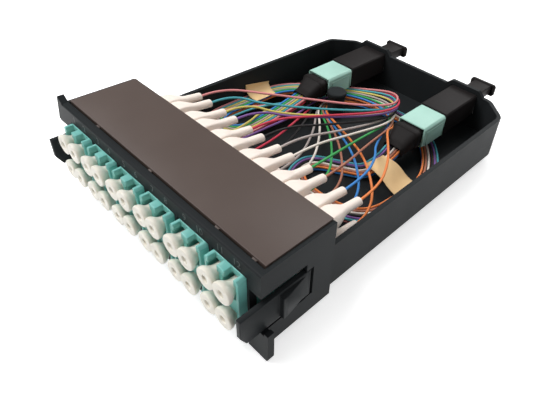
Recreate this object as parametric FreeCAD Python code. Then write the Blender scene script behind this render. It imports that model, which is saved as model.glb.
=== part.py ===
import FreeCAD, Part
import math
import os

V = FreeCAD.Vector

# Fibre cassette: an open moulded tray with six four-port LC adapters in its bezel, two MPO adapters
# in its rear wall, and twenty-four 0.9 mm fibres between them.
# Every y below is measured back from the front of the bezel; save() moves the origin to the centre
# of the flat underside. +X is to the right seen from behind the bezel, +Y to the rear, +Z up.

# --- driving dimensions, mm ---------------------------------------------------------------------
body_width = 96.0        # head of the tray, behind the bezel
body_height = 28.5
tray_width = 92.2        # fibre tray behind the head
tray_height = 16.8
depth = 134.5            # bezel front to rear wall
head_depth = 25.5
wall = 1.6
floor_thickness = 1.8
bezel_thickness = 2.2
corner_x = 9.6           # cut rear corners of the tray
corner_y = 9.0
corner_round = 6.0
edge_round = 0.6

# mounting ears in the plane of the bezel: how far points of their outlines lie outside the head
# (x) and above its underside or below its top (z), so that a negative z stands out of the head
right_ear = [(-5.1, -3.1), (1.9, -3.1), (2.4, -2.4), (2.4, 7.8), (-1.0, 7.8), (-1.0, 0.5),
             (-5.1, 0.5)]
left_ear = [(1.2, -1.9), (4.3, 7.5), (3.3, 8.1), (-1.0, 8.1), (-1.0, 0.0)]

cover_thickness = 1.6
cover_proud = 0.6
cover_side_lip = 1.2
cover_groove = 0.5       # open seam between the bezel and the cover
tab_x = (-28.6, -0.4, 29.1, 43.0)
tab_width = 1.6

adapter_count = 6
adapter_pitch = 14.55
adapter_width = 13.0
adapter_height = 19.0
adapter_centre_z = 14.25
adapter_front = -2.6
adapter_rear = 17.0
collar_thickness = 1.5
collar_side = 0.65       # how far the collar stands out at the sides
collar_end = 1.0         # and at top and bottom
port_pitch = 6.25
row_gap = 9.8
socket = 4.9
socket_depth = 8.8
key_width = 3.4

ferrule_size = 1.25
sleeve_size = 1.65
sleeve_length = 6.8
plug_bore = 5.7

cap_reach = 2.6          # dust cap head, beyond the adapter
cap_head = 6.2
cap_stem = 4.3
plug_rear = 27.0
boot_base_rear = 33.0
boot_taper_rear = 38.0
boot_rear = 46.0
boot_droop = 1.6         # of the tip
boot_width = 5.9
boot_height = 6.2
boot_tip = 3.2

latch_length_front = 6.3
latch_bottom = 7.5
latch_top = 17.5
latch_pivot_y = 16.5
latch_notch = 4.2        # width of the bezel cut away for the lever to swing in
latch_catch_front = 6.0
latch_catch_proud = 1.6
pivot_pin = 0.5          # radius
window_top = 20.5
window_rear = 15.3

mpo_x = 24.3
mpo_z = 12.3
mpo_width = 12.6
mpo_height = 9.6
mpo_front = 110.0
mpo_outside = 3.5
mpo_plug_width = 9.6
mpo_plug_height = 6.4
mpo_boot_front = 84.0
mpo_boot_droop = 2.8
mpo_cap_reach = 17.5     # dust cap, beyond the rear wall
mpo_boot_rear = 93.7
sleeve_wall = 1.1
sleeve_travel = 1.2      # forwards, to release the plug
cradle_width = 18.0
cradle_top = 19.2
cradle_corner = 2.5      # cut corners of the cradle

post_x = -13.1
post_y = 94.5
post_top = 14.0
post_radius = 3.6
post_cap_radius = 4.1

tape_thickness = 0.2
tape_gap = 0.2           # from the side wall
fibre_diameter = 0.9

# --- clearances, mm -----------------------------------------------------------------------------
seat = 0.1               # a piece held in a window, slot or socket
swing = 0.08             # pin in its hole, radial
free = 0.3               # between pieces that move

# --- worked out ---------------------------------------------------------------------------------
half_body = body_width / 2
half_tray = tray_width / 2
collar_front = bezel_thickness + seat
collar_rear = collar_front + collar_thickness
upper_z = adapter_centre_z + row_gap / 2
lower_z = adapter_centre_z - row_gap / 2
cover_bottom = body_height + cover_proud - cover_thickness
latch_x = half_body - wall / 2
mpo_rear = depth + mpo_outside
sleeve_front = mpo_boot_rear + sleeve_travel + free
adapter_x = [(n - (adapter_count - 1) / 2) * adapter_pitch for n in range(adapter_count)]
port_x = [x + side * port_pitch / 2 for x in adapter_x for side in (-1, 1)]


# --- helpers ------------------------------------------------------------------------------------
def box(x0, x1, y0, y1, z0, z1):
    """A block between two opposite corners."""
    return Part.makeBox(x1 - x0, y1 - y0, z1 - z0, V(x0, y0, z0))


def block(cx, cz, width, height, y0, y1):
    """A bar of rectangular section along Y, centred on (cx, cz)."""
    return box(cx - width / 2, cx + width / 2, y0, y1, cz - height / 2, cz + height / 2)


def prism(points, direction):
    """A flat outline pushed along a vector."""
    return face([V(*p) for p in points]).extrude(V(*direction))


def section(cx, cz, width, height, cut, y):
    """The eight points of a rectangle with cut corners, in the plane y."""
    w, h = width / 2, height / 2
    corners = [(w - cut, h), (w, h - cut), (w, -h + cut), (w - cut, -h),
               (-w + cut, -h), (-w, -h + cut), (-w, h - cut), (-w + cut, h)]
    return [V(cx + x, y, cz + z) for x, z in corners]


def octagon(cx, cz, across, y):
    """A regular octagon, so many millimetres across its flats."""
    return section(cx, cz, across, across, across * (1 - math.tan(math.pi / 8)) / 2, y)


def hexagon(cx, cz, across, y):
    """A regular hexagon, so many millimetres across its flats."""
    r = across / math.sqrt(3)
    return [V(cx + r * math.cos(k * math.pi / 3), y, cz + r * math.sin(k * math.pi / 3))
            for k in range(6)]


def face(points):
    """The flat face inside an outline."""
    return Part.Face(Part.makePolygon(points + [points[0]]))


def loft(*rings):
    """A solid with flat sides from each outline to the next."""
    sides = [face(rings[0]), face(rings[-1])]
    for a, b in zip(rings, rings[1:]):
        for k in range(len(a)):
            sides.append(face([a[k - 1], a[k], b[k], b[k - 1]]))
    return Part.makeSolid(Part.makeShell(sides))


def bar(cx, cz, width, height, cut, y0, y1):
    """A bar along Y with cut edges."""
    return loft(section(cx, cz, width, height, cut, y0), section(cx, cz, width, height, cut, y1))


def mirror_x(shape):
    return shape.mirror(V(0, 0, 0), V(1, 0, 0))


def fuse(shapes):
    return shapes[0].multiFuse(shapes[1:]).removeSplitter()


def save(name, shapes):
    """Write one node, with the origin moved to the centre of the underside."""
    shape = Part.makeCompound(shapes) if len(shapes) > 1 else shapes[0]
    shape.translated(V(0, -depth / 2, 0)).exportStep("parts/" + name + ".step")


# --- tray moulding ------------------------------------------------------------------------------
def tray_outline(inset, z0, z1):
    """The rear part of the tray, between the head and the rear wall, with its cut corners."""
    w = half_tray - inset
    rear = depth - inset
    slant = inset * (math.hypot(corner_x, corner_y) - corner_x - corner_y)
    cx = corner_x + slant / corner_y
    cy = corner_y + slant / corner_x
    points = [(-w, head_depth - wall, z0), (-w, rear - cy, z0), (-w + cx, rear, z0),
              (w - cx, rear, z0), (w, rear - cy, z0), (w, head_depth - wall, z0)]
    solid = prism(points, (0, 0, z1 - z0))
    upright = [e for e in solid.Edges if e.BoundBox.ZLength > 1 and e.BoundBox.YMin > head_depth]
    return solid.makeFillet(corner_round - inset, upright)


def ear(outline, side, height, up):
    """A mounting ear on one side, measured from the given height of the head upwards or down."""
    points = [(side * (half_body + x), 0, height + up * z) for x, z in outline]
    return prism(points, (0, bezel_thickness, 0))


def latch_window():
    """The opening in the right wall and bezel that the latch lever lies and swings in."""
    cut = half_body + 1
    low = latch_bottom - 2 * free
    notch = box(half_body - latch_notch, cut, -1, bezel_thickness, low, window_top)
    window = box(half_body - wall - 0.5, cut, 0, window_rear, low, window_top)
    step = box(half_body - wall - 0.5, cut, 0, latch_pivot_y + wall / 2 + 2 * free,
               latch_bottom - free, latch_top + free)
    hole = Part.makeCylinder(pivot_pin + swing, latch_top - latch_bottom + 3.4,
                             V(latch_x, latch_pivot_y, latch_bottom - 1.7))
    return fuse([notch, window, step, hole])


def mpo_cradle(x):
    """The raised piece of the rear wall round one MPO adapter, with cut top corners."""
    w = cradle_width / 2
    cut = cradle_corner
    inside = depth - wall
    points = [(x - w, inside, floor_thickness), (x - w, inside, cradle_top - cut),
              (x - w + cut, inside, cradle_top), (x + w - cut, inside, cradle_top),
              (x + w, inside, cradle_top - cut), (x + w, inside, floor_thickness)]
    return prism(points, (0, wall, 0))


def tray():
    head = box(-half_body, half_body, 0, head_depth, 0, body_height)
    corners = [e for e in head.Edges if e.BoundBox.YMax < 0.01 and e.BoundBox.XLength > 1
               and e.BoundBox.ZMin > 1]
    head = head.makeFillet(edge_round, corners)
    inner_head = box(-half_body + wall, half_body - wall, bezel_thickness, head_depth - wall,
                     floor_thickness, body_height + 1)
    inner_tray = tray_outline(wall, floor_thickness, body_height + 1)
    shell = fuse([head, tray_outline(0, 0, tray_height), ear(right_ear, 1, 0, 1),
                  ear(left_ear, -1, body_height, -1), mpo_cradle(-mpo_x), mpo_cradle(mpo_x)])
    shell = shell.cut(inner_head).cut(inner_tray)
    shoulder = box(-half_body + cover_side_lip, half_body - cover_side_lip, bezel_thickness,
                   head_depth + 1, cover_bottom, body_height + 1)
    shell = shell.cut(shoulder)
    # the collars of the adapters are held between the bezel and this rib
    rib = box(-half_body + wall, half_body - wall, collar_rear + seat, collar_rear + seat + wall,
              floor_thickness / 2, adapter_centre_z - adapter_height / 2 - seat)
    shell = fuse([shell, rib])
    windows = [block(x, adapter_centre_z, adapter_width + 2 * seat, adapter_height + 2 * seat,
                     -1, bezel_thickness + 0.01) for x in adapter_x]
    window = latch_window()
    mpo_holes = [block(x, mpo_z, mpo_width + 2 * seat, mpo_height + 2 * seat, depth - wall - 1,
                       depth + 1) for x in (-mpo_x, mpo_x)]
    return shell.cut(windows + [window, mirror_x(window)] + mpo_holes).removeSplitter()


# --- cover and latches --------------------------------------------------------------------------
def adapter_cover():
    """The plate over the adapters: tabs at its front, a skirt behind, a rib over the collars."""
    side = half_body - cover_side_lip - seat
    front = bezel_thickness + cover_groove
    top = box(-side, side, front, head_depth, cover_bottom, cover_bottom + cover_thickness)
    tabs = [box(x - tab_width / 2, x + tab_width / 2, bezel_thickness + seat / 5, front,
                cover_bottom, body_height) for x in tab_x]
    inner = half_tray - wall - seat
    skirt = box(-inner, inner, head_depth - wall, head_depth, cover_bottom - 1.8, cover_bottom)
    rib = box(-inner, inner, collar_rear + seat, collar_rear + seat + wall,
              adapter_centre_z + adapter_height / 2 + seat, cover_bottom)
    return fuse([top, skirt, rib] + tabs)


def latch():
    """The right latch lever: a finger plate, a catch that snaps into the panel, and its pivot."""
    z0, z1 = latch_bottom, latch_top
    front = -latch_length_front
    side = [(latch_x, front, z1), (latch_x, front, z0 + 3.5), (latch_x, front + 1.8, z0),
            (latch_x, latch_pivot_y, z0), (latch_x, latch_pivot_y, z1)]
    plate = prism(side, (wall, 0, 0))
    plate.translate(V(-wall / 2, 0, 0))
    root = Part.makeCylinder(wall / 2, z1 - z0, V(latch_x, latch_pivot_y, z0))
    pin = Part.makeCylinder(pivot_pin, z1 - z0 + 3.0, V(latch_x, latch_pivot_y, z0 - 1.5))
    outer = half_body
    catch = prism([(outer - 0.4, latch_catch_front, z0 + 1),
                   (outer + latch_catch_proud, latch_catch_front, z0 + 1),
                   (outer + latch_catch_proud, latch_catch_front + 1.5, z0 + 1),
                   (outer, window_rear, z0 + 1), (outer - 0.4, window_rear, z0 + 1)],
                  (0, 0, z1 - z0 - 2))
    return fuse([plate, root, pin, catch])


# --- LC adapters and what is in them ------------------------------------------------------------
def lc_adapter(x):
    """A four-port adapter: body, collar, front and rear sockets, keyways and sleeve seats."""
    z = adapter_centre_z
    body = bar(x, z, adapter_width, adapter_height, 0.8, adapter_front, adapter_rear)
    collar = block(x, z, adapter_width + 2 * collar_side, adapter_height + 2 * collar_end,
                   collar_front, collar_rear)
    cuts = []
    for side in (-1, 1):
        px = x + side * port_pitch / 2
        for pz in (lower_z, upper_z):
            cuts.append(block(px, pz, socket, socket, adapter_front - 1,
                              adapter_front + socket_depth))
            cuts.append(block(px, pz, socket, socket, adapter_rear - socket_depth,
                              adapter_rear + 1))
            cuts.append(block(px, pz, 2.0, 2.0, adapter_front, adapter_rear))
            edge = z + math.copysign(adapter_height / 2 + 1, pz - z)
            low, high = sorted((pz, edge))
            cuts.append(box(px - key_width / 2, px + key_width / 2, adapter_front - 1,
                            adapter_front + 2.4, low, high))
    return fuse([body, collar]).cut(cuts)


def dust_cap(x, z):
    """A trumpet-headed cap: stem in the socket, flared head, hollow in its face."""
    tip = adapter_front - cap_reach
    shape = loft(octagon(x, z, cap_stem, adapter_front + 5.5),
                 octagon(x, z, cap_stem, adapter_front), octagon(x, z, cap_head, tip + 0.6),
                 octagon(x, z, cap_head, tip))
    return shape.cut(loft(octagon(x, z, cap_head * 0.55, tip - 0.01),
                          octagon(x, z, cap_head * 0.25, tip + 1.6)))


def lc_plug(x, z):
    """The housing of one LC plug, bored from the front for the ferrule and its sleeve."""
    size = socket - 2 * seat
    front = adapter_rear - socket_depth + seat
    housing = block(x, z, size, size, front, plug_rear)
    return housing.cut(block(x, z, 2.6, 2.6, front - 1, front + plug_bore))


def ferrule(x, z):
    """A 1.25 mm ferrule, from the middle of the adapter to the floor of the plug's bore."""
    middle = (adapter_front + adapter_rear) / 2
    bore_floor = adapter_rear - socket_depth + seat + plug_bore
    return loft(hexagon(x, z, ferrule_size, middle), hexagon(x, z, ferrule_size, bore_floor))


def split_sleeve(x, z):
    """The sleeve that lines up two ferrules, in the middle of the adapter."""
    middle = (adapter_front + adapter_rear) / 2
    start = middle - sleeve_length / 2
    end = middle + sleeve_length / 2
    inner = ferrule_size + 0.02
    outer = loft(hexagon(x, z, sleeve_size, start), hexagon(x, z, sleeve_size, end))
    return outer.cut(loft(hexagon(x, z, inner, start - 1), hexagon(x, z, inner, end + 1)))


def lc_boot(x, z):
    """A strain relief boot: square base, taper and round tip that hangs a little."""
    tip = z - boot_droop
    return loft(section(x, z, boot_width, boot_height, 1.0, plug_rear),
                section(x, z, boot_width, boot_height, 1.0, boot_base_rear),
                octagon(x, z - boot_droop / 3, boot_tip, boot_taper_rear),
                octagon(x, tip, boot_tip, boot_rear))


# --- MPO adapters and plugs ---------------------------------------------------------------------
def mpo_adapter(x):
    """The adapter in the rear wall, with a socket at each end and a web between them."""
    body = bar(x, mpo_z, mpo_width, mpo_height, 0.6, mpo_front, mpo_rear)
    middle = (mpo_front + mpo_rear) / 2
    w = mpo_plug_width + 2 * seat
    h = mpo_plug_height + 2 * seat
    inner = block(x, mpo_z, w, h, mpo_front - 1, middle - 1)
    outer = block(x, mpo_z, w, h, middle + 1, mpo_rear + 1)
    slot = block(x, mpo_z, 6.8, 2.8, mpo_front, mpo_rear)
    return body.cut([inner, outer, slot])


def mpo_plug(x):
    """The inner plug: housing with cut edges and the flat ferrule that stands out of it."""
    middle = (mpo_front + mpo_rear) / 2
    housing = bar(x, mpo_z, mpo_plug_width, mpo_plug_height, 0.8, mpo_boot_rear, middle - 3)
    nose = block(x, mpo_z, 6.4, 2.5, middle - 3, middle)
    return fuse([housing, nose])


def mpo_sleeve(x):
    """The coupling sleeve that is drawn back to release the plug."""
    rear = mpo_front - free
    w = mpo_plug_width + 2 * (free + sleeve_wall)
    h = mpo_plug_height + 2 * (free + 0.9)
    body = bar(x, mpo_z, w, h, 0.9, sleeve_front, rear)
    grip = box(x - w / 2 - 0.4, x + w / 2 + 0.4, sleeve_front + 1.5, rear - 1.5,
               mpo_z - h / 2 + 0.6, mpo_z + 2.2)
    bore = block(x, mpo_z, mpo_plug_width + 2 * free, mpo_plug_height + 2 * free,
                 sleeve_front - 1, rear + 1)
    return fuse([body, grip]).cut(bore)


def mpo_boot(x):
    """The boot behind the plug: a collar, and a tail that hangs towards the ribbon of fibres."""
    tail_z = mpo_z - mpo_boot_droop
    tail = section(x, tail_z, 8.0, 5.0, 1.0, mpo_boot_front)
    tail_end = section(x, tail_z, 8.0, 5.0, 1.0, mpo_boot_front + 2.5)
    collar = section(x, mpo_z, 11.5, 7.6, 1.2, mpo_boot_rear - 2.5)
    collar_end = section(x, mpo_z, 11.5, 7.6, 1.2, mpo_boot_rear)
    opening = block(x, tail_z, 7.2, 3.4, mpo_boot_front - 1, mpo_boot_front + 1.5)
    return loft(tail, tail_end, collar, collar_end).cut(opening)


def mpo_dust_cap(x):
    """The outer cap: a stem in the rear socket, a long neck and a flange plate to pull it by."""
    size_w, size_h = mpo_plug_width - 0.2, mpo_plug_height - 0.2
    flange_front = depth + mpo_cap_reach - 1.5
    stem = bar(x, mpo_z, size_w, size_h, 0.8, mpo_rear - 6, mpo_rear)
    neck = block(x, mpo_z, 8.0, 4.2, mpo_rear, flange_front)
    flange = bar(x, mpo_z, 12.0, 5.3, 0.8, flange_front, flange_front + 1.5)
    return fuse([stem, neck, flange])


# --- post, tapes and fibres ---------------------------------------------------------------------
def fibre_post():
    """The mushroom peg that the fibres turn round."""
    profile = [(0, floor_thickness), (post_radius, floor_thickness),
               (post_radius, post_top - 2.2), (post_cap_radius, post_top - 1.6),
               (post_cap_radius, post_top - 0.8), (post_cap_radius - 1.2, post_top), (0, post_top)]
    outline = face([V(post_x + r, post_y, z) for r, z in profile])
    return outline.revolve(V(post_x, post_y, 0), V(0, 0, 1), 360)


# edges of the tapes, from the side wall inwards: x and height
tape_end = half_tray - wall - tape_gap
tape_left_edge = [(-tape_end, 6.9), (-38, 6.9), (-35.4, 7.7)]
tape_right_front = [(tape_end, 4.8), (34, 4.8), (29, 7.6), (19, 7.6)]
tape_right_rear = [(tape_end, 4.8), (34, 4.8), (29, 9.8), (19, 9.8)]


def tape(front, rear, y0, y1):
    """A strip of tape over the fibres, ruled between its front and rear edges."""
    wires = []
    for edge, y in ((front, y0), (rear, y1)):
        points = [V(x, y, z) for x, z in edge]
        points += [V(x, y, z + tape_thickness) for x, z in reversed(edge)]
        wires.append(Part.makePolygon(points + [points[0]]))
    return Part.makeLoft(wires, True, True)


# ribbon lines: x, y, height of the lower layer, distance between neighbouring lanes, and how much
# higher each lane lies than the one to its left
upper_ribbon = [(4.5, 112.5, 8.8, 1.55, 1.15), (-15.2, 111, 5.5, 1.15, 0),
                (-40.4, 90, 5.3, 1.15, 0), (-40.9, 70, 4.7, 1.15, 0), (-41.2, 50, 4.7, 1.15, 0),
                (-25.0, 50, 4.7, 1.15, 0), (-24.8, 67, 4.9, 1.15, 0), (-24.3, 85, 8.92, 1.15, 0)]
lower_ribbon = [(-22.4, 92, 3.4, 1.3, 0), (-20, 107, 2.5, 1.15, 0), (-4, 114, 2.5, 1.15, 0),
                (22, 112.5, 2.5, 1.15, 0), (40.4, 90, 2.5, 1.15, 0), (40.6, 72, 2.5, 1.15, 0),
                (38.5, 54, 2.5, 1.15, 0), (24, 48.5, 2.5, 1.15, 0), (6, 50, 2.5, 1.15, 0),
                (2.5, 62.5, 2.5, 1.15, 0), (14, 68.5, 2.5, 1.15, 0), (24.3, 73.5, 3.4, 1.15, 0),
                (24.3, 85, 8.92, 1.15, 0)]
# the fibres in each lane of the upper ribbon: one of the upper layer, one of the lower
upper_lanes = [(10, 11), (8, 9), (6, 7), (2, 5), (1, 3), (0, 4)]
# where the upper fibres come together, two side by side, one lane above the next
gather_x = 14.0
gather_y = 98.0
gather_z = 8.4
gather_rise = 1.5
gather_side = 1.15
# where each fibre passes between its boot and its ribbon, from left to right
upper_spread = [[(-25, 68.5, 16.6)], [(-21, 63, 15.4)], [(-13, 64, 14.5)], [(-8, 66, 14.9)],
                [(-4.5, 70, 15.9)], [(0, 71.5, 13.6)], [(5.5, 73, 12.6)], [(9.5, 75.5, 12.0)],
                [(13.2, 78, 11.2)], [(17.2, 78.5, 10.8)], [(28.5, 68, 16.2), (18.0, 82, 9.4)],
                [(33.5, 71, 16.0), (18.9, 84.5, 10.4)]]
lower_spread = [[(-34.6, 70, 6.2)], [(-32.6, 69.5, 7.4)], [(-30.3, 68.5, 6.8)],
                [(-18.4, 77.5, 6.9)], [(-15.5, 74.5, 7.2)], [(-11.5, 74.5, 8.1)],
                [(-6, 74.5, 7.2)], [(-2.5, 74.5, 8.1)], [(9, 68.5, 8.6), (-4, 80, 6.9)],
                [(13.5, 68.5, 9.5), (-1.5, 80, 7.8)], [(20, 68.5, 10.6), (3, 80, 6.9)],
                [(25, 68.5, 12.5), (5.5, 80, 8.4)]]
layer_gap = 1.15
lanes = 6
lead = 10.0               # straight run behind each boot


def ribbon_lane(line, lane, layer):
    """One fibre's corner points in a ribbon of lanes two fibres deep, mitred at each corner."""
    points = []
    last = len(line) - 1
    from_middle = lane - (lanes - 1) / 2
    for k, (x, y, z, spacing, tilt) in enumerate(line):
        here = V(x, y, 0)
        before = V(*line[max(k - 1, 0)][:2], 0)
        after = V(*line[min(k + 1, last)][:2], 0)
        arrive = (here - before if k else after - here).normalize()
        leave = (after - here if k < last else here - before).normalize()
        along = (arrive + leave).normalize()
        stretch = math.cos(arrive.getAngle(leave) / 2)
        aside = V(along.y, -along.x, 0) * (from_middle * spacing / stretch)
        points.append(V(x, y, z + from_middle * tilt + layer * layer_gap) + aside)
    return points


def fibre_points(row, index):
    """The corner points of a fibre, from the tip of its boot to the tail of the MPO boot."""
    x = port_x[index]
    if row == "upper":
        lane = [index in pair for pair in upper_lanes].index(True)
        lower_layer = upper_lanes[lane].index(index)
        gather = (gather_x + gather_side * (2 * lower_layer - 1), gather_y,
                  gather_z + gather_rise * lane)
        z = upper_z - boot_droop
        spread = upper_spread[index] + [gather]
        ribbon = ribbon_lane(upper_ribbon, lane, 1 - lower_layer)
    else:
        z = lower_z - boot_droop
        spread = lower_spread[index]
        ribbon = ribbon_lane(lower_ribbon, index // 2, index % 2)
    return [V(x, boot_rear, z), V(x, boot_rear + lead, z)] + [V(*p) for p in spread] + ribbon


def fibre_path(points):
    """Straight runs joined by tangent arcs; also gives the tightest arc's radius."""
    edges = []
    radii = []
    here = points[0]
    for before, corner, after in zip(points, points[1:], points[2:]):
        back = before - corner
        ahead = after - corner
        cut = 0.45 * min(back.Length, ahead.Length)
        back.normalize()
        ahead.normalize()
        turn = math.pi - back.getAngle(ahead)
        radius = cut / math.tan(turn / 2)
        middle = (back + ahead).normalize() * (math.hypot(radius, cut) - radius)
        start = corner + back * cut
        end = corner + ahead * cut
        edges.append(Part.LineSegment(here, start).toShape())
        edges.append(Part.Arc(start, corner + middle, end).toShape())
        radii.append(radius)
        here = end
    edges.append(Part.LineSegment(here, points[-1]).toShape())
    return Part.Wire(edges), min(radii)


def fibre(name, points):
    """A fibre of square section, with the area of the round one."""
    path, tightest = fibre_path(points)
    side = math.sqrt(math.pi) * fibre_diameter / 2
    start = points[0]
    corners = [V(start.x + i * side / 2, start.y, start.z + k * side / 2)
               for i, k in ((1, 1), (1, -1), (-1, -1), (-1, 1))]
    solid = path.makePipe(face(corners))
    print(name, "length %.1f" % path.Length, "tightest %.1f" % tightest,
          "volume %.2f of %.2f" % (solid.Volume, side * side * path.Length))
    return solid


# --- nodes --------------------------------------------------------------------------------------
os.makedirs("parts", exist_ok=True)

save("tray", [tray()])
save("adapter_cover", [adapter_cover()])
save("latch_right", [latch()])
save("latch_left", [mirror_x(latch())])
for number, x in enumerate(adapter_x, 1):
    save("lc_adapter_%d" % number, [lc_adapter(x)])
for row, z in (("upper", upper_z), ("lower", lower_z)):
    save("dust_caps_" + row, [dust_cap(x, z) for x in port_x])
    save("lc_plugs_" + row, [lc_plug(x, z) for x in port_x])
    save("lc_boots_" + row, [lc_boot(x, z) for x in port_x])
save("ferrules", [ferrule(x, z) for z in (upper_z, lower_z) for x in port_x])
save("split_sleeves", [split_sleeve(x, z) for z in (upper_z, lower_z) for x in port_x])

for side, x in (("left", -mpo_x), ("right", mpo_x)):
    save("mpo_adapter_" + side, [mpo_adapter(x)])
    save("mpo_plug_" + side, [mpo_plug(x)])
    save("mpo_sleeve_" + side, [mpo_sleeve(x)])
    save("mpo_boot_" + side, [mpo_boot(x)])
    save("mpo_dust_cap_" + side, [mpo_dust_cap(x)])

save("fibre_post", [fibre_post()])
save("tape_left", [tape(tape_left_edge, tape_left_edge, 70.5, 82.5)])
save("tape_right", [tape(tape_right_front, tape_right_rear, 69.5, 80.5)])
for row in ("upper", "lower"):
    for index in range(len(port_x)):
        name = "fibre_%s_%02d" % (row, index + 1)
        save(name, [fibre(name, fibre_points(row, index))])
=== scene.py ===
import math

import bmesh
import bpy
import numpy as np
from mathutils import Matrix, Vector


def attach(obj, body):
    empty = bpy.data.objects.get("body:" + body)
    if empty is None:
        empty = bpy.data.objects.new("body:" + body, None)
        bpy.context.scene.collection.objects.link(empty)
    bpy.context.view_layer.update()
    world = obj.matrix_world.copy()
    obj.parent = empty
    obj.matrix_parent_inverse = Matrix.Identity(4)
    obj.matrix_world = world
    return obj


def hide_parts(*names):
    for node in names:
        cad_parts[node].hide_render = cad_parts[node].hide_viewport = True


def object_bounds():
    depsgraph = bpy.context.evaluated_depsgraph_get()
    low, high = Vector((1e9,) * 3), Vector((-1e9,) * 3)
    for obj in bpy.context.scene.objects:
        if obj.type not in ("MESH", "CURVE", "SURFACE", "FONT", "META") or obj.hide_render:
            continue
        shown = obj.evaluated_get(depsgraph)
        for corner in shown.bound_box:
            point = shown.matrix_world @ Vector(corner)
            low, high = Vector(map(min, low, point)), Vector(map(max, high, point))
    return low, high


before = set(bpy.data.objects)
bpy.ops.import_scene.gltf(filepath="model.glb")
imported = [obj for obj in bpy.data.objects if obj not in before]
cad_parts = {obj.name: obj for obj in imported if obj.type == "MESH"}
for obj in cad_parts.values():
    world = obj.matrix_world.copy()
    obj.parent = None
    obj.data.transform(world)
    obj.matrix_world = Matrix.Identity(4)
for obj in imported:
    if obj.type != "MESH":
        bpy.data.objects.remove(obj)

cad_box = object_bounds()

# ---- camera ------------------------------------------------------------------------------------
# It looks down on the front left corner of the cassette from above its right front, close enough
# for strong perspective, and is rolled a little.
azimuth, elevation, roll = (math.radians(a) for a in (38.92, 37.83, 5.94))
back = Vector((math.sin(azimuth) * math.cos(elevation), -math.cos(azimuth) * math.cos(elevation),
               math.sin(elevation)))
level = Vector((0, 0, 1)).cross(back).normalized()
rise = back.cross(level)
right = math.cos(roll) * level + math.sin(roll) * rise
up = back.cross(right)
camera = bpy.data.objects.new("camera", bpy.data.cameras.new("camera"))
turned = Matrix((right, up, back)).transposed().to_quaternion()
camera.matrix_world = Matrix.LocRotScale(Vector((0.1033, -0.11435, 0.1177)), turned, None)
camera.data.lens = 33.863
camera.data.shift_x = -0.1255
camera.data.shift_y = -0.0671
camera.data.clip_start = 0.005
bpy.context.scene.collection.objects.link(camera)
bpy.context.scene.camera = camera

# ---- fibres ------------------------------------------------------------------------------------
# Twenty-four 0.9 mm fibres. Each leaves its boot straight, spreads to a place in a ribbon six
# fibres wide and two deep and goes round the tray in it: the upper row to the left MPO boot, the
# lower row to the right one. Lengths are in millimetres, y from the bezel's face.
MM = 0.001
half_depth = 67.25
fibre_radius = 0.45 * MM
adapter_pitch = 14.55
port_pitch = 6.25
port_x = [(n - 2.5) * adapter_pitch + side * port_pitch / 2 for n in range(6) for side in (-1, 1)]
middle_lane = 2.5
layer_gap = 1.15
# corner points of each ribbon's middle: x, y, z, spacing of the lanes, rise from lane to lane
upper_ribbon = [(4.5, 112.5, 8.8, 1.55, 1.15), (-15.2, 111, 5.5, 1.15, 0),
                (-40.4, 90, 5.3, 1.15, 0), (-40.9, 70, 4.7, 1.15, 0), (-41.2, 50, 4.7, 1.15, 0),
                (-25.0, 50, 4.7, 1.15, 0), (-24.8, 67, 4.9, 1.15, 0), (-24.3, 85, 8.92, 1.15, 0)]
lower_ribbon = [(-22.4, 92, 3.4, 1.3, 0), (-20, 107, 2.5, 1.15, 0), (-4, 114, 2.5, 1.15, 0),
                (22, 112.5, 2.5, 1.15, 0), (40.4, 90, 2.5, 1.15, 0), (40.6, 72, 2.5, 1.15, 0),
                (38.5, 54, 2.5, 1.15, 0), (24, 48.5, 2.5, 1.15, 0), (6, 50, 2.5, 1.15, 0),
                (2.5, 62.5, 2.5, 1.15, 0), (14, 68.5, 2.5, 1.15, 0), (24.3, 73.5, 3.4, 1.15, 0),
                (24.3, 85, 8.92, 1.15, 0)]
# the fibres in each lane of the upper ribbon: one of the upper layer, one of the lower
upper_lanes = [(10, 11), (8, 9), (6, 7), (2, 5), (1, 3), (0, 4)]
# where the upper fibres come together, two side by side, one lane above the next
gather_x = 14.0
gather_y = 98.0
gather_z = 8.4
gather_rise = 1.5
gather_side = 1.15
boot_rear = 46
lead = 10
tip_height = {"upper": 17.55, "lower": 7.75}
# where each fibre passes between its boot and its ribbon, from left to right
upper_spread = [[(-25, 68.5, 16.6)], [(-21, 63, 15.4)], [(-13, 64, 14.5)], [(-8, 66, 14.9)],
                [(-4.5, 70, 15.9)], [(0, 71.5, 13.6)], [(5.5, 73, 12.6)], [(9.5, 75.5, 12.0)],
                [(13.2, 78, 11.2)], [(17.2, 78.5, 10.8)], [(28.5, 68, 16.2), (18.0, 82, 9.4)],
                [(32.5, 70, 16.0), (25.0, 79.5, 15.5), (17.0, 90, 12.0)]]
lower_spread = [[(-34.6, 70, 6.2)], [(-32.6, 69.5, 7.4)], [(-30.3, 68.5, 6.8)],
                [(-18.4, 77.5, 6.9)], [(-15.5, 74.5, 7.2)], [(-11.5, 74.5, 8.1)],
                [(-6, 74.5, 7.2)], [(-2.5, 74.5, 8.1)], [(9, 68.5, 8.6), (-4, 80, 6.9)],
                [(13.5, 68.5, 9.5), (-1.5, 80, 7.8)], [(20, 68.5, 10.6), (3, 80, 6.9)],
                [(25, 68.5, 12.5), (5.5, 80, 8.4)]]
fibre_colours = {"rose": (0.74, 0.27, 0.27), "aqua": (0.08, 0.38, 0.44),
                 "yellow": (0.66, 0.56, 0.14), "violet": (0.22, 0.11, 0.34),
                 "red": (0.64, 0.05, 0.09), "black": (0.016, 0.015, 0.016),
                 "slate": (0.46, 0.40, 0.38), "white": (0.82, 0.75, 0.68),
                 "green": (0.05, 0.38, 0.10), "brown": (0.42, 0.17, 0.11),
                 "blue": (0.05, 0.24, 0.62), "orange": (0.82, 0.24, 0.07)}
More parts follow.
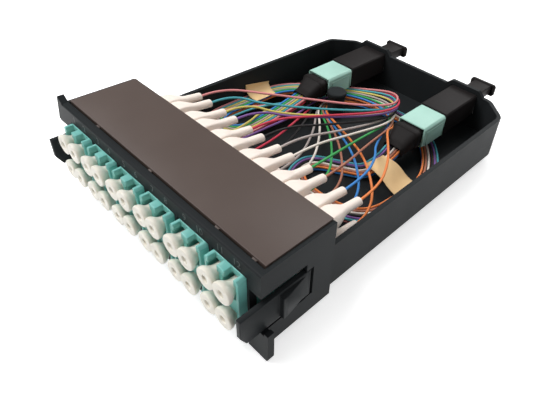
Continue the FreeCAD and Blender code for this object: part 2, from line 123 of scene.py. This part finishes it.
colour_order = list(fibre_colours)


def ribbon_lane(line, lane, layer):
    """One fibre's corner points in a ribbon, moved aside square to each corner's half angle."""
    points = []
    last = len(line) - 1
    for k, (x, y, z, spacing, tilt) in enumerate(line):
        here = Vector((x, y))
        before = Vector(line[max(k - 1, 0)][:2])
        after = Vector(line[min(k + 1, last)][:2])
        arrive = (here - before if k else after - here).normalized()
        leave = (after - here if k < last else here - before).normalized()
        along = (arrive + leave).normalized()
        stretch = math.cos(arrive.angle(leave) / 2)
        place = lane - middle_lane
        aside = Vector((along.y, -along.x)) * (place * spacing / stretch)
        points.append((x + aside.x, y + aside.y, z + place * tilt + layer * layer_gap))
    return points


def fibre(name, points):
    """A round tube on a smooth spline whose control points are the route's corners. Each point's
    radius is the fibre's."""
    curve = bpy.data.curves.new(name, "CURVE")
    curve.dimensions = "3D"
    spline = curve.splines.new("NURBS")
    spline.points.add(len(points) - 1)
    for place, (x, y, z) in zip(spline.points, points):
        place.co = (x * MM, (y - half_depth) * MM, z * MM, 1)
        place.radius = fibre_radius
    spline.order_u = 3
    spline.use_endpoint_u = True
    spline.resolution_u = 10
    curve.bevel_depth = 1.0
    curve.bevel_resolution = 2
    curve.use_fill_caps = True
    piece = bpy.data.objects.new(name, curve)
    bpy.context.scene.collection.objects.link(piece)
    return piece


fibres = []
for row, height in tip_height.items():
    for k, x in enumerate(port_x):
        if row == "upper":
            lane = [k in pair for pair in upper_lanes].index(True)
            below = upper_lanes[lane].index(k)
            gather = (gather_x + gather_side * (2 * below - 1), gather_y,
                      gather_z + gather_rise * lane)
            route = upper_spread[k] + [gather] + ribbon_lane(upper_ribbon, lane, 1 - below)
        else:
            route = lower_spread[k] + ribbon_lane(lower_ribbon, k // 2, k % 2)
        name = "fibre_%s_%02d" % (row, k + 1)
        straight = [(x, boot_rear, height), (x, boot_rear + lead, height)]
        piece = fibre(name + "_jacket", straight + route)
        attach(piece, "root")
        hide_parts(name)
        fibres.append((piece, colour_order[k]))

# ---- tray --------------------------------------------------------------------------------------
# One moulding of black plastic: a head with the bezel and ears, a floor, two side walls and a rear
# wall with two cradles. Its edges are left square, and its faces have a fine grain.


def plastic(name, colour, roughness, grain=2600.0, relief=0.00002, mottle=0.10, glow=0.0,
            shine=0.5):
    """Principled plastic: two noises of the place on the piece steer colour, gloss and bump."""
    material = bpy.data.materials.new(name)
    material.use_nodes = True
    nodes, links = material.node_tree.nodes, material.node_tree.links
    shader = nodes["Principled BSDF"]
    place = nodes.new("ShaderNodeTexCoord")
    broad = nodes.new("ShaderNodeTexNoise")
    broad.inputs["Scale"].default_value = 90.0
    broad.inputs["Detail"].default_value = 4.0
    shade = nodes.new("ShaderNodeMix")
    shade.data_type = "RGBA"
    shade.inputs[6].default_value = (*[c * (1 - mottle) for c in colour], 1)
    shade.inputs[7].default_value = (*[min(1, c * (1 + mottle) + 0.002) for c in colour], 1)
    gloss = nodes.new("ShaderNodeMapRange")
    gloss.inputs["To Min"].default_value = roughness - 0.05
    gloss.inputs["To Max"].default_value = roughness + 0.07
    fine = nodes.new("ShaderNodeTexNoise")
    fine.inputs["Scale"].default_value = grain
    fine.inputs["Detail"].default_value = 3.0
    bump = nodes.new("ShaderNodeBump")
    bump.inputs["Distance"].default_value = relief
    bump.inputs["Strength"].default_value = 0.6
    for source, target in ((place.outputs["Object"], broad.inputs["Vector"]),
                           (place.outputs["Object"], fine.inputs["Vector"]),
                           (broad.outputs["Fac"], shade.inputs[0]),
                           (shade.outputs[2], shader.inputs["Base Color"]),
                           (broad.outputs["Fac"], gloss.inputs["Value"]),
                           (gloss.outputs["Result"], shader.inputs["Roughness"]),
                           (fine.outputs["Fac"], bump.inputs["Height"]),
                           (bump.outputs["Normal"], shader.inputs["Normal"])):
        links.new(source, target)
    shader.inputs["Specular IOR Level"].default_value = shine
    shader.inputs["Subsurface Weight"].default_value = glow
    shader.inputs["Subsurface Radius"].default_value = (0.002, 0.002, 0.002)
    return material


def dress(piece, material):
    """Gives the whole piece one material."""
    piece.data.materials.clear()
    piece.data.materials.append(material)


tray_black = plastic("tray_black", (0.0195, 0.0220, 0.0235), 0.44, shine=0.06)
dress(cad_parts["tray"], tray_black)

# ---- port numbers ------------------------------------------------------------------------------
# The numbers 1 to 12 stand a few hundredths of a millimetre proud of the bezel, one over each pair
# of ports.
number_height = 2.3
number_relief = 0.04
number_base = 25.1
size_for_height = 1.35
letters = []
for number, x in enumerate(port_x, 1):
    curve = bpy.data.curves.new("number", "FONT")
    curve.body = str(number)
    curve.size = number_height * size_for_height * MM
    curve.align_x = "CENTER"
    curve.extrude = number_relief * MM
    letter = bpy.data.objects.new("number", curve)
    bpy.context.scene.collection.objects.link(letter)
    mesh = bpy.data.meshes.new_from_object(letter)
    mesh.transform(Matrix.Translation((x * MM, -half_depth * MM, number_base * MM))
                   @ Matrix.Rotation(math.pi / 2, 4, "X"))
    letters.append(mesh)
    bpy.data.objects.remove(letter)
    bpy.data.curves.remove(curve)
numbers_mesh = bpy.data.meshes.new("port_numbers")
joined = bmesh.new()
for mesh in letters:
    joined.from_mesh(mesh)
    bpy.data.meshes.remove(mesh)
joined.to_mesh(numbers_mesh)
joined.free()
port_numbers = bpy.data.objects.new("port_numbers", numbers_mesh)
bpy.context.scene.collection.objects.link(port_numbers)
# The numbers are as dark as the bezel; their lighter grey is a painted highlight that stands in for
# light caught on their raised edges.
dress(port_numbers, plastic("number_painted_highlight", (0.060, 0.064, 0.064), 0.4, shine=0.3))
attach(port_numbers, "root")

# ---- cover -------------------------------------------------------------------------------------
# A flat plate of smoother black plastic over the adapters, held by tabs. Its colour is lifted from
# black to a warm brown grey, a painted sheen that stands in for light reflected off its top.
# Vertices nearer than the weld distance are made one before edges are rounded.
weld = 0.000002


def moulded(node, body, material, edge):
    """A copy of a CAD node with its triangles merged and its corners of over 30 degrees rounded."""
    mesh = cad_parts[node].data.copy()
    shape = bmesh.new()
    shape.from_mesh(mesh)
    bmesh.ops.remove_doubles(shape, verts=shape.verts, dist=weld)
    bmesh.ops.dissolve_limit(shape, angle_limit=math.radians(1), verts=shape.verts,
                             edges=shape.edges)
    shape.to_mesh(mesh)
    shape.free()
    mesh.shade_smooth()
    piece = bpy.data.objects.new(node + "_moulding", mesh)
    bpy.context.scene.collection.objects.link(piece)
    bevel = piece.modifiers.new("edges", "BEVEL")
    bevel.width = edge
    bevel.segments = 2
    bevel.limit_method = "ANGLE"
    bevel.angle_limit = math.radians(30)
    bevel.use_clamp_overlap = False
    bevel.harden_normals = True
    dress(piece, material)
    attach(piece, body)
    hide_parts(node)


# black plastic lifted to warm brown grey: a painted sheen for the light the cover's top reflects
cover_black = plastic("cover_black", (0.082, 0.058, 0.049), 0.44, grain=3500.0, mottle=0.07,
                      shine=0.4)
moulded("adapter_cover", "root", cover_black, 0.12 * MM)

# ---- latch levers ------------------------------------------------------------------------------
# Each lever is a plate with a catch. It turns on a pin moulded in one with it.
moulded("latch_right", "latch_right_lever", tray_black, 0.22 * MM)
moulded("latch_left", "latch_left_lever", tray_black, 0.22 * MM)

# ---- LC adapters -------------------------------------------------------------------------------
# Six four-port adapters of glossy aqua plastic, in the bezel's windows up to their collars.
adapter_aqua = plastic("adapter_aqua", (0.190, 0.54, 0.49), 0.30, glow=0.25, mottle=0.06)
for number in range(1, 7):
    moulded("lc_adapter_%d" % number, "root", adapter_aqua, 0.2 * MM)

# ---- dust caps ---------------------------------------------------------------------------------
# Soft milky caps, turned shapes: a stem in the port, a neck that flares into a thick round head,
# and a small recess in its face.


def rounded(profile):
    """The profile with its corners cut twice over: each time every run keeps its middle half."""
    for _ in range(2):
        start, end = profile[:-1], profile[1:]
        kept = np.stack([0.75 * start + 0.25 * end, 0.25 * start + 0.75 * end], 1)
        profile = np.concatenate([profile[:1], kept.reshape(-1, profile.shape[1]), profile[-1:]])
    return profile


def skin(name, points, body, material):
    """A smooth piece over closed rings of points: an array of shapes, rings, points and x, y, z in
    millimetres from the bezel's face. Each ring is joined to the next by quads and the last point
    of a ring to its first; points that fall together at a pole or a seam are made one."""
    shapes, rings, around, _ = points.shape
    index = np.arange(shapes * rings * around).reshape(shapes, rings, around)
    here, ahead = index[:, :-1], index[:, 1:]
    quads = np.stack([here, np.roll(here, -1, 2), np.roll(ahead, -1, 2), ahead], -1)
    mesh = bpy.data.meshes.new(name)
    mesh.from_pydata(((points - (0, half_depth, 0)) * MM).reshape(-1, 3).tolist(), [],
                     quads.reshape(-1, 4).tolist())
    shape = bmesh.new()
    shape.from_mesh(mesh)
    bmesh.ops.remove_doubles(shape, verts=shape.verts, dist=weld)
    bmesh.ops.recalc_face_normals(shape, faces=shape.faces)
    shape.to_mesh(mesh)
    shape.free()
    mesh.shade_smooth()
    piece = bpy.data.objects.new(name, mesh)
    bpy.context.scene.collection.objects.link(piece)
    dress(piece, material)
    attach(piece, body)
    return piece


def along_y(profile, centres, around=28):
    """Superelliptic tubes along Y. A row of the profile is y, half width, half height, rise of the
    centre and exponent n; a point of its ring is at half width * |cos t| ** (2 / n) across and half
    height * |sin t| ** (2 / n) up, each with the sign of its cosine or sine."""
    turn = np.linspace(0, 2 * np.pi, around, endpoint=False) + np.pi / around
    y, width, height, rise, power = (profile[:, k, None] for k in range(5))
    across = width * np.sign(np.cos(turn)) * np.abs(np.cos(turn)) ** (2 / power)
    upward = height * np.sign(np.sin(turn)) * np.abs(np.sin(turn)) ** (2 / power) + rise
    ring = np.stack([across, y + 0 * turn, upward], -1)
    middle = np.array([(x, 0, z) for x, z in centres])
    return ring[None] + middle[:, None, None, :]


cap_white = plastic("cap_white", (0.84, 0.80, 0.71), 0.36, mottle=0.03, glow=0.7, shine=0.4)
cap_profile = rounded(np.array([(y, r, r, 0, 2) for y, r in (
    (2.6, 0), (2.6, 1.9), (-1.7, 1.95), (-2.6, 2.2), (-3.4, 2.85), (-4.1, 3.28), (-4.95, 3.33),
    (-5.2, 3.1), (-5.2, 2.3), (-5.2, 1.3), (-5.0, 1.1), (-4.5, 1.0), (-4.3, 0.8), (-4.3, 0))]))

# ---- LC boots and plugs ------------------------------------------------------------------------
# Short soft boots on the plugs' tails: square at the plug, flowing in to a round tip that hangs a
# little, where the fibre comes out of a small hole. The plugs are in the adapters and under the
# cover.
boot_white = plastic("boot_white", (0.92, 0.81, 0.73), 0.45, mottle=0.03, glow=0.35, shine=0.35)
boot_profile = rounded(np.array([
    (27, 0, 0, 0, 9), (27, 2.95, 3.05, 0, 9), (30, 2.95, 3.05, 0, 9), (33.6, 2.95, 2.95, 0, 9),
    (36.2, 2.3, 2.2, -0.2, 7), (38.3, 1.6, 1.6, -0.55, 3.5), (39.4, 1.5, 1.5, -0.75, 2.2),
    (43, 1.52, 1.52, -1.2, 2), (45.9, 1.5, 1.5, -1.59, 2), (46, 1.35, 1.35, -1.6, 2),
    (46, 0.7, 0.7, -1.6, 2), (45.9, 0.5, 0.5, -1.6, 2), (44.6, 0.5, 0.5, -1.5, 2),
    (44.5, 0, 0, -1.5, 2)]))
for row, height in (("upper", 19.15), ("lower", 9.35)):
    centres = [(x, height) for x in port_x]
    caps = skin("caps_" + row, along_y(cap_profile, centres), "root", cap_white)
    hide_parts("dust_caps_" + row)
    boots = skin("boots_" + row, along_y(boot_profile, centres), "root", boot_white)
    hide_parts("lc_boots_" + row)
plug_beige = plastic("plug_beige", (0.72, 0.70, 0.61), 0.4, mottle=0.03)
ceramic = plastic("ceramic", (0.72, 0.71, 0.68), 0.18, grain=5000.0, mottle=0.02)
for node, material in (("lc_plugs_upper", plug_beige), ("lc_plugs_lower", plug_beige),
                       ("ferrules", ceramic), ("split_sleeves", ceramic)):
    dress(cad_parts[node], material)

# ---- MPO connectors ----------------------------------------------------------------------------
# A black adapter held in each cradle of the rear wall, a pale aqua coupling sleeve with a coarse
# grain, a black boot whose tail hangs towards the ribbon, and a black cap outside.
mpo_x = 24.3
mpo_height = 12.3
mpo_black = plastic("mpo_black", (0.0185, 0.0160, 0.0160), 0.45, shine=0.07)
boot_black = plastic("boot_black", (0.0145, 0.0125, 0.0125), 0.5, grain=1800.0, shine=0.08)
sleeve_aqua = plastic("sleeve_aqua", (0.40, 0.66, 0.57), 0.42, grain=1500.0, relief=0.00009,
                      mottle=0.14, glow=0.15, shine=0.35)
mpo_boot_profile = rounded(np.array([
    (93.7, 0, 0, 0, 5), (93.7, 5.75, 3.8, 0, 5), (93.5, 5.75, 3.8, 0, 5), (91.3, 5.75, 3.8, 0, 5),
    (91.1, 5.3, 3.4, -0.1, 5), (90.4, 5.1, 3.35, -0.4, 4), (88.4, 4.7, 3.0, -1.4, 3.5),
    (86.6, 4.2, 2.65, -2.4, 3.5), (84.6, 4.0, 2.5, -2.8, 4), (84, 3.95, 2.4, -2.8, 4),
    (84, 3.6, 1.8, -2.8, 5), (85.5, 3.55, 1.7, -2.8, 5), (85.5, 0, 0, -2.8, 5)]))
for side, x in (("left", -mpo_x), ("right", mpo_x)):
    moulded("mpo_adapter_" + side, "root", mpo_black, 0.3 * MM)
    moulded("mpo_sleeve_" + side, side + "_sleeve", sleeve_aqua, 0.4 * MM)
    moulded("mpo_dust_cap_" + side, "root", mpo_black, 0.3 * MM)
    tail = skin("mpo_tail_" + side, along_y(mpo_boot_profile, [(x, mpo_height)], 40),
                "root", boot_black)
    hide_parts("mpo_boot_" + side)
    dress(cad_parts["mpo_plug_" + side], mpo_black)

# ---- fibre post --------------------------------------------------------------------------------
# A round peg with a wider head, turned smooth, that the upper fibres pass. At angle t and profile
# radius r a point is at r * cos t, r * sin t from the peg's middle, at the profile's height.
post_x, post_y = -13.1, 94.5
post_profile = rounded(np.array([(0, 1.8), (3.6, 1.8), (3.6, 9.0), (3.45, 11.4), (3.9, 12.0),
                                 (4.1, 12.5), (4.1, 13.6), (3.6, 14.0), (2.4, 13.95), (0, 13.9)]))
turn = np.linspace(0, 2 * np.pi, 48, endpoint=False)
radius, height = post_profile[:, :1], post_profile[:, 1:]
post = skin("fibre_peg", np.stack([post_x + radius * np.cos(turn), post_y + radius * np.sin(turn),
                                   height + 0 * turn], -1)[None], "root", tray_black)
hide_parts("fibre_post")

# ---- tapes -------------------------------------------------------------------------------------
# Two strips of tan crepe tape lie over the fibres. Each is a ruled sheet: its front and rear
# edges are rounded lines, and it is straight between them with a low ripple.
ripple = 0.12


def strip(side, front, rear):
    """A tape: point (u, v) is at share v from the front line to the rear one, lifted by the ripple
    * sin(9 u) * sin(5 v + 2 u)."""
    front, rear = (rounded(np.array(line, float))[None] for line in (front, rear))
    share = np.linspace(0, 1, 14)[:, None, None]
    points = front * (1 - share) + rear * share
    along = np.linspace(0, 1, points.shape[1])[None, :]
    points[..., 2] += ripple * np.sin(9 * along) * np.sin(5 * share[..., 0] + 2 * along)
    index = np.arange(points[..., 0].size).reshape(points.shape[:2])
    quads = np.stack([index[:-1, :-1], index[:-1, 1:], index[1:, 1:], index[1:, :-1]], -1)
    if side == "right":
        quads = quads[..., ::-1]
    mesh = bpy.data.meshes.new("strip_" + side)
    mesh.from_pydata(((points - (0, half_depth, 0)) * MM).reshape(-1, 3).tolist(), [],
                     quads.reshape(-1, 4).tolist())
    mesh.shade_smooth()
    piece = bpy.data.objects.new("strip_" + side, mesh)
    bpy.context.scene.collection.objects.link(piece)
    thick = piece.modifiers.new("thickness", "SOLIDIFY")
    thick.thickness = 0.15 * MM
    thick.offset = 1
    dress(piece, tape_tan)
    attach(piece, "root")
    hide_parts("tape_" + side)


tape_tan = plastic("tape_tan", (0.74, 0.51, 0.26), 0.62, grain=1500.0, relief=0.00006, mottle=0.13,
                   shine=0.3)
strip("left",
      [(-44.2, 71.5, 11.3), (-44.0, 71.3, 8.6), (-41.5, 71, 7.3), (-38.5, 70.7, 7.1),
       (-35.8, 70.4, 7.7)],
      [(-44.2, 84.5, 8.8), (-44.0, 84, 7.8), (-41.5, 83, 7.2), (-38.5, 81.8, 7.1),
       (-35.6, 80.6, 7.9)])
strip("right",
      [(44.2, 67.5, 8.8), (43.6, 68, 6.2), (41, 68.8, 5.0), (36, 69.5, 4.9), (30, 70.5, 7.4),
       (22, 71.5, 7.9)],
      [(44.2, 76.5, 11.6), (43.8, 77.5, 8), (41.5, 79, 5.8), (36, 80, 5.0), (30.5, 79.5, 9.3),
       (24.5, 78.5, 9.8)])

# ---- colours of the fibres ---------------------------------------------------------------------
# Each jacket is a smooth coloured tight buffer.
jackets = {colour: plastic("jacket_" + colour, fibre_colours[colour], 0.45, mottle=0.08,
                           shine=0.25) for colour in colour_order}
for piece, colour in fibres:
    dress(piece, jackets[colour])

# ---- floor, light and background ---------------------------------------------------------------
# A pale floor just under the cassette, three soft boxes, and a white surround that lights the
# object less than it shows.
floor_gap = 0.0002
floor_half = 3
floor_z = cad_box[0][2] - floor_gap
floor_mesh = bpy.data.meshes.new("floor")
floor_mesh.from_pydata([(x * floor_half, y * floor_half, floor_z)
                        for x, y in ((-1, -1), (1, -1), (1, 1), (-1, 1))], [], [(0, 1, 2, 3)])
floor = bpy.data.objects.new("floor", floor_mesh)
bpy.context.scene.collection.objects.link(floor)


def white_ground():
    """A pale matt floor that the camera sees as nearly white, with the shadow kept."""
    material = bpy.data.materials.new("floor")
    material.use_nodes = True
    nodes, links = material.node_tree.nodes, material.node_tree.links
    shader = nodes["Principled BSDF"]
    shader.inputs["Base Color"].default_value = (0.9, 0.9, 0.9, 1)
    shader.inputs["Roughness"].default_value = 0.9
    shader.inputs["Emission Color"].default_value = (1, 1, 1, 1)
    path = nodes.new("ShaderNodeLightPath")
    seen = nodes.new("ShaderNodeMath")
    seen.operation = "MAXIMUM"
    links.new(path.outputs["Is Camera Ray"], seen.inputs[0])
    links.new(path.outputs["Is Glossy Ray"], seen.inputs[1])
    share = nodes.new("ShaderNodeMath")
    share.operation = "MULTIPLY"
    share.inputs[1].default_value = 0.6
    links.new(seen.outputs[0], share.inputs[0])
    links.new(share.outputs[0], shader.inputs["Emission Strength"])
    return material


dress(floor, white_ground())
world = bpy.data.worlds.new("studio")
bpy.context.scene.world = world
world.use_nodes = True
background = world.node_tree.nodes["Background"]
path = world.node_tree.nodes.new("ShaderNodeLightPath")
level_range = world.node_tree.nodes.new("ShaderNodeMapRange")
level_range.inputs["To Min"].default_value = 0.24
level_range.inputs["To Max"].default_value = 1.0
background.inputs["Color"].default_value = (1, 1, 1, 1)
world.node_tree.links.new(path.outputs["Is Camera Ray"], level_range.inputs["Value"])
world.node_tree.links.new(level_range.outputs["Result"], background.inputs["Strength"])


def lamp(name, place, target, size, power):
    """A square soft box that faces a point."""
    light = bpy.data.lights.new(name, "AREA")
    light.shape = "SQUARE"
    light.size = size
    light.energy = power
    piece = bpy.data.objects.new(name, light)
    piece.location = place
    piece.rotation_euler = (Vector(place) - Vector(target)).to_track_quat("Z", "Y").to_euler()
    bpy.context.scene.collection.objects.link(piece)


lamp("key", (-0.30, -0.25, 0.65), (0, 0, 0), 0.45, 5.2)
lamp("fill", (0.65, 0.10, 0.45), (0, 0, 0), 0.6, 0.8)
lamp("rear", (-0.10, 0.60, 0.50), (0, 0, 0.01), 0.5, 2.3)

bpy.context.scene.view_settings.view_transform = "Standard"
bpy.context.view_layer.update()
